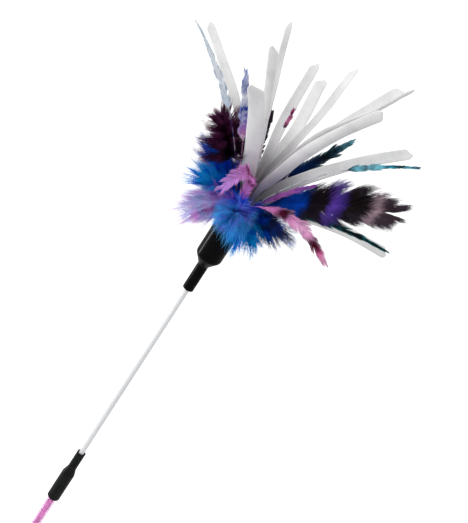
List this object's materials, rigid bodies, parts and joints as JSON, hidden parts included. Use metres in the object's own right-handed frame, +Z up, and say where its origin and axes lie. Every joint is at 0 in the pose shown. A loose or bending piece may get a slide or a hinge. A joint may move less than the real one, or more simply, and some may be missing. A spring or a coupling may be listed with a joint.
{
  "type": "cat teaser wand",
  "caption": "Hand-held cat teaser wand: clear pink handle tube, thin bending rod, and a black cup that holds white suede strips and dyed feathers.",
  "frame": {"origin": "On the wand's axis, at the middle of the handle's bare grip", "axes": "+Z runs up the wand from the butt to the lure; +X is to the right and +Y away from the viewer of the picture"},
  "size_m": [0.1996, 0.158, 0.6006],
  "materials": {
    "clear_pink_tube": "clear pink plastic tube, glossy",
    "pink_film": "crinkled iridescent pink film",
    "black_rubber": "matte black rubber",
    "black_sleeve": "satin black shrunk sleeve",
    "clear_rod": "translucent clear plastic",
    "bush_plastic": "plain plastic",
    "clear_glue": "set hot glue",
    "binding_thread": "wound thread",
    "white_suede": "white suede with a soft nap",
    "quill_horn": "horny feather shaft",
    "hackle_maroon": "dyed feather",
    "hackle_dark": "dyed feather",
    "hackle_pale": "dyed feather",
    "hackle_spotted": "dyed feather",
    "hackle_pink": "dyed feather",
    "hackle_mauve": "dyed feather",
    "hackle_cyan": "dyed feather",
    "hackle_navy": "dyed feather",
    "hackle_teal": "dyed feather",
    "hackle_rose": "dyed feather",
    "plume_plum": "dyed feather",
    "plume_blue": "dyed feather",
    "plume_lilac": "dyed feather",
    "plume_sky": "dyed feather",
    "plume_indigo": "dyed feather",
    "plume_banded": "dyed feather",
    "plume_turquoise": "dyed feather",
    "plume_iris": "dyed feather",
    "plume_violet": "dyed feather",
    "plume_black": "dyed feather",
    "plume_orchid": "dyed feather",
    "plume_mulberry": "dyed feather"
  },
  "bodies": {
    "handle": {"handle_tube": "clear_pink_tube", "handle_film": "pink_film", "end_plug": "black_rubber", "lower_sleeve": "black_rubber", "rod_root": "clear_rod"},
    "rod_mid": {"rod_mid": "clear_rod"},
    "lure": {"rod_tip": "clear_rod", "lure_cup": "black_sleeve", "neck_bush": "bush_plastic", "glue_plug": "clear_glue", "binding_thread": "binding_thread", "strip_tails": "white_suede", "quill_butts": "quill_horn"},
    "suede_strip_1": {"suede_strip_1": "white_suede"},
    "suede_strip_2": {"suede_strip_2": "white_suede"},
    "suede_strip_3": {"suede_strip_3": "white_suede"},
    "suede_strip_4": {"suede_strip_4": "white_suede"},
    "suede_strip_5": {"suede_strip_5": "white_suede"},
    "suede_strip_6": {"suede_strip_6": "white_suede"},
    "suede_strip_7": {"suede_strip_7": "white_suede"},
    "suede_strip_8": {"suede_strip_8": "white_suede"},
    "suede_strip_9": {"suede_strip_9": "white_suede"},
    "suede_strip_10": {"suede_strip_10": "white_suede"},
    "suede_strip_11": {"suede_strip_11": "white_suede"},
    "suede_strip_12": {"suede_strip_12": "white_suede"},
    "hackle_maroon": {"hackle_maroon": "hackle_maroon"},
    "hackle_dark": {"hackle_dark": "hackle_dark"},
    "hackle_pale": {"hackle_pale": "hackle_pale"},
    "hackle_spotted": {"hackle_spotted": "hackle_spotted"},
    "hackle_rose": {"hackle_rose": "hackle_rose"},
    "hackle_pink": {"hackle_pink": "hackle_pink"},
    "hackle_mauve": {"hackle_mauve": "hackle_mauve"},
    "hackle_cyan": {"hackle_cyan": "hackle_cyan"},
    "hackle_navy": {"hackle_navy": "hackle_navy"},
    "hackle_teal": {"hackle_teal": "hackle_teal"},
    "plume_plum": {"plume_plum": "plume_plum"},
    "plume_blue": {"plume_blue": "plume_blue"},
    "plume_turquoise": {"plume_turquoise": "plume_turquoise"},
    "plume_lilac": {"plume_lilac": "plume_lilac"},
    "plume_sky": {"plume_sky": "plume_sky"},
    "plume_iris": {"plume_iris": "plume_iris"},
    "plume_indigo": {"plume_indigo": "plume_indigo"},
    "plume_banded": {"plume_banded": "plume_banded"},
    "plume_violet": {"plume_violet": "plume_violet"},
    "plume_black": {"plume_black": "plume_black"},
    "plume_orchid": {"plume_orchid": "plume_orchid"},
    "plume_mulberry": {"plume_mulberry": "plume_mulberry"}
  },
  "joints": [
    {"name": "rod_bend_front", "type": "hinge", "parent": "handle", "child": "rod_mid", "pos_m": [0, 0, 0.138], "axis": [1, 0, 0], "range_deg": [-15, 15], "stiffness_Nm_per_rad": 0.4},
    {"name": "rod_bend_side", "type": "hinge", "parent": "rod_mid", "child": "lure", "pos_m": [0, 0, 0.162], "axis": [0, 1, 0], "range_deg": [-15, 15], "stiffness_Nm_per_rad": 0.4},
    {"name": "suede_strip_1_flex", "type": "hinge", "parent": "lure", "child": "suede_strip_1", "pos_m": [-0.00236, -0.0011, 0.38], "axis": [0.4226, -0.9063, 0], "range_deg": [-8, 7], "stiffness_Nm_per_rad": 0.02, "springref_deg": -0.44},
    {"name": "suede_strip_2_flex", "type": "hinge", "parent": "lure", "child": "suede_strip_2", "pos_m": [-0.00114, 0.00234, 0.38], "axis": [-0.8988, -0.4384, 0], "range_deg": [-8, 7], "stiffness_Nm_per_rad": 0.02, "springref_deg": -0.26},
    {"name": "suede_strip_3_flex", "type": "hinge", "parent": "lure", "child": "suede_strip_3", "pos_m": [0.00225, -0.0013, 0.38], "axis": [0.5, 0.866, 0], "range_deg": [-7, 4], "stiffness_Nm_per_rad": 0.02, "springref_deg": -0.65},
    {"name": "suede_strip_4_flex", "type": "hinge", "parent": "lure", "child": "suede_strip_4", "pos_m": [0.00169, 0.00417, 0.378], "axis": [-0.9272, 0.3746, 0], "range_deg": [-1, 16], "stiffness_Nm_per_rad": 0.02, "springref_deg": -0.43},
    {"name": "suede_strip_5_flex", "type": "hinge", "parent": "lure", "child": "suede_strip_5", "pos_m": [0.00437, 0.00109, 0.378], "axis": [-0.2419, 0.9703, 0], "range_deg": [-2, 16], "stiffness_Nm_per_rad": 0.02, "springref_deg": -0.56},
    {"name": "suede_strip_6_flex", "type": "hinge", "parent": "lure", "child": "suede_strip_6", "pos_m": [0.00289, -0.00345, 0.378], "axis": [0.766, 0.6428, 0], "range_deg": [-5, 20], "stiffness_Nm_per_rad": 0.02, "springref_deg": -0.79},
    {"name": "suede_strip_7_flex", "type": "hinge", "parent": "lure", "child": "suede_strip_7", "pos_m": [-0.00301, -0.00334, 0.378], "axis": [0.7431, -0.6691, 0], "range_deg": [-6, 3], "stiffness_Nm_per_rad": 0.02, "springref_deg": -0.57},
    {"name": "suede_strip_8_flex", "type": "hinge", "parent": "lure", "child": "suede_strip_8", "pos_m": [-0.00417, 0.00169, 0.378], "axis": [-0.3746, -0.9272, 0], "range_deg": [-1, 20], "stiffness_Nm_per_rad": 0.02, "springref_deg": -0.36},
    {"name": "suede_strip_9_flex", "type": "hinge", "parent": "lure", "child": "suede_strip_9", "pos_m": [0.00043, 0.00618, 0.376], "axis": [-0.9976, 0.0698, 0], "range_deg": [-8, 20], "stiffness_Nm_per_rad": 0.02, "springref_deg": -0.69},
    {"name": "suede_strip_10_flex", "type": "hinge", "parent": "lure", "child": "suede_strip_10", "pos_m": [0.00557, 0.00272, 0.376], "axis": [-0.4384, 0.8988, 0], "range_deg": [-8, 20], "stiffness_Nm_per_rad": 0.02, "springref_deg": -1},
    {"name": "suede_strip_11_flex", "type": "hinge", "parent": "lure", "child": "suede_strip_11", "pos_m": [-0.0052, 0.00338, 0.376], "axis": [-0.5446, -0.8387, 0], "range_deg": [-5, 20], "stiffness_Nm_per_rad": 0.02, "springref_deg": -0.98},
    {"name": "suede_strip_12_flex", "type": "hinge", "parent": "lure", "child": "suede_strip_12", "pos_m": [0.00643, 0.00386, 0.3746], "axis": [-0.515, 0.8572, 0], "range_deg": [-8, 20], "stiffness_Nm_per_rad": 0.02, "springref_deg": -1.52},
    {"name": "hackle_maroon_flex", "type": "hinge", "parent": "lure", "child": "hackle_maroon", "pos_m": [-0.00009, -0.0026, 0.38], "axis": [0.9994, -0.0349, 0], "range_deg": [-8, 16], "stiffness_Nm_per_rad": 0.005, "springref_deg": -0.06},
    {"name": "hackle_dark_flex", "type": "hinge", "parent": "lure", "child": "hackle_dark", "pos_m": [-0.0043, 0.00614, 0.3746], "axis": [-0.8192, -0.5736, 0], "range_deg": [-8, 16], "stiffness_Nm_per_rad": 0.005, "springref_deg": -0.08},
    {"name": "hackle_pale_flex", "type": "hinge", "parent": "lure", "child": "hackle_pale", "pos_m": [-0.00636, -0.00397, 0.3746], "axis": [0.5299, -0.848, 0], "range_deg": [-8, 16], "stiffness_Nm_per_rad": 0.005, "springref_deg": -1.26},
    {"name": "hackle_spotted_flex", "type": "hinge", "parent": "lure", "child": "hackle_spotted", "pos_m": [-0.00736, -0.00143, 0.3746], "axis": [0.1908, -0.9816, 0], "range_deg": [-8, 8], "stiffness_Nm_per_rad": 0.005, "springref_deg": -0.21},
    {"name": "hackle_rose_flex", "type": "hinge", "parent": "lure", "child": "hackle_rose", "pos_m": [-0.00207, -0.00721, 0.3746], "axis": [0.9613, -0.2756, 0], "range_deg": [-2, 16], "stiffness_Nm_per_rad": 0.005, "springref_deg": -0.4},
    {"name": "hackle_pink_flex", "type": "hinge", "parent": "lure", "child": "hackle_pink", "pos_m": [0.00482, -0.00575, 0.3746], "axis": [0.766, 0.6428, 0], "range_deg": [-3, 16], "stiffness_Nm_per_rad": 0.005, "springref_deg": -1.15},
    {"name": "hackle_mauve_flex", "type": "hinge", "parent": "lure", "child": "hackle_mauve", "pos_m": [0.00731, -0.00169, 0.3746], "axis": [0.225, 0.9744, 0], "range_deg": [-3, 8], "stiffness_Nm_per_rad": 0.005, "springref_deg": -0.07},
    {"name": "hackle_cyan_flex", "type": "hinge", "parent": "lure", "child": "hackle_cyan", "pos_m": [0.0075, -0.00026, 0.3746], "axis": [0.0349, 0.9994, 0], "range_deg": [-8, 14], "stiffness_Nm_per_rad": 0.005, "springref_deg": -0.7},
    {"name": "hackle_navy_flex", "type": "hinge", "parent": "lure", "child": "hackle_navy", "pos_m": [0.00482, 0.00575, 0.3746], "axis": [-0.766, 0.6428, 0], "range_deg": [-8, 16], "stiffness_Nm_per_rad": 0.005, "springref_deg": -0.37},
    {"name": "hackle_teal_flex", "type": "hinge", "parent": "lure", "child": "hackle_teal", "pos_m": [0.00741, 0.00117, 0.3746], "axis": [-0.1564, 0.9877, 0], "range_deg": [-8, 16], "stiffness_Nm_per_rad": 0.005, "springref_deg": -0.64},
    {"name": "plume_plum_flex", "type": "hinge", "parent": "lure", "child": "plume_plum", "pos_m": [-0.0075, -0.00013, 0.3732], "axis": [0.0175, -0.9998, 0], "range_deg": [-4, 8], "stiffness_Nm_per_rad": 0.01, "springref_deg": -0.68},
    {"name": "plume_blue_flex", "type": "hinge", "parent": "lure", "child": "plume_blue", "pos_m": [-0.00724, 0.00194, 0.3732], "axis": [-0.2588, -0.9659, 0], "range_deg": [-7, 7], "stiffness_Nm_per_rad": 0.01, "springref_deg": -0.26},
    {"name": "plume_turquoise_flex", "type": "hinge", "parent": "lure", "child": "plume_turquoise", "pos_m": [-0.00695, -0.00281, 0.3732], "axis": [0.3746, -0.9272, 0], "range_deg": [-8, 5], "stiffness_Nm_per_rad": 0.01, "springref_deg": -0.23},
    {"name": "plume_lilac_flex", "type": "hinge", "parent": "lure", "child": "plume_lilac", "pos_m": [-0.00482, -0.00575, 0.3732], "axis": [0.766, -0.6428, 0], "range_deg": [-5, 9], "stiffness_Nm_per_rad": 0.01, "springref_deg": -0.38},
    {"name": "plume_sky_flex", "type": "hinge", "parent": "lure", "child": "plume_sky", "pos_m": [-0.00026, -0.0075, 0.3732], "axis": [0.9994, -0.0349, 0], "range_deg": [-8, 4], "stiffness_Nm_per_rad": 0.01, "springref_deg": -0.48},
    {"name": "plume_iris_flex", "type": "hinge", "parent": "lure", "child": "plume_iris", "pos_m": [0.00329, -0.00674, 0.3732], "axis": [0.8988, 0.4384, 0], "range_deg": [-4, 9], "stiffness_Nm_per_rad": 0.01, "springref_deg": -0.41},
    {"name": "plume_indigo_flex", "type": "hinge", "parent": "lure", "child": "plume_indigo", "pos_m": [0.00607, -0.00441, 0.3732], "axis": [0.5878, 0.809, 0], "range_deg": [-8, 4], "stiffness_Nm_per_rad": 0.01, "springref_deg": -0.44},
    {"name": "plume_banded_flex", "type": "hinge", "parent": "lure", "child": "plume_banded", "pos_m": [0.0068, -0.00317, 0.3732], "axis": [0.4226, 0.9063, 0], "range_deg": [-8, 12], "stiffness_Nm_per_rad": 0.05, "springref_deg": -1.02},
    {"name": "plume_violet_flex", "type": "hinge", "parent": "lure", "child": "plume_violet", "pos_m": [0.00352, 0.00662, 0.3732], "axis": [-0.8829, 0.4695, 0], "range_deg": [-5, 12], "stiffness_Nm_per_rad": 0.01, "springref_deg": -0.51},
    {"name": "plume_black_flex", "type": "hinge", "parent": "lure", "child": "plume_black", "pos_m": [0.00078, 0.00746, 0.3732], "axis": [-0.9945, 0.1045, 0], "range_deg": [-8, 6], "stiffness_Nm_per_rad": 0.01, "springref_deg": -0.49},
    {"name": "plume_orchid_flex", "type": "hinge", "parent": "lure", "child": "plume_orchid", "pos_m": [-0.00232, 0.00713, 0.3732], "axis": [-0.9511, -0.309, 0], "range_deg": [-8, 10], "stiffness_Nm_per_rad": 0.01, "springref_deg": -0.5},
    {"name": "plume_mulberry_flex", "type": "hinge", "parent": "lure", "child": "plume_mulberry", "pos_m": [-0.00591, 0.00462, 0.3732], "axis": [-0.6157, -0.788, 0], "range_deg": [-7, 12], "stiffness_Nm_per_rad": 0.01, "springref_deg": -0.49}
  ]
}
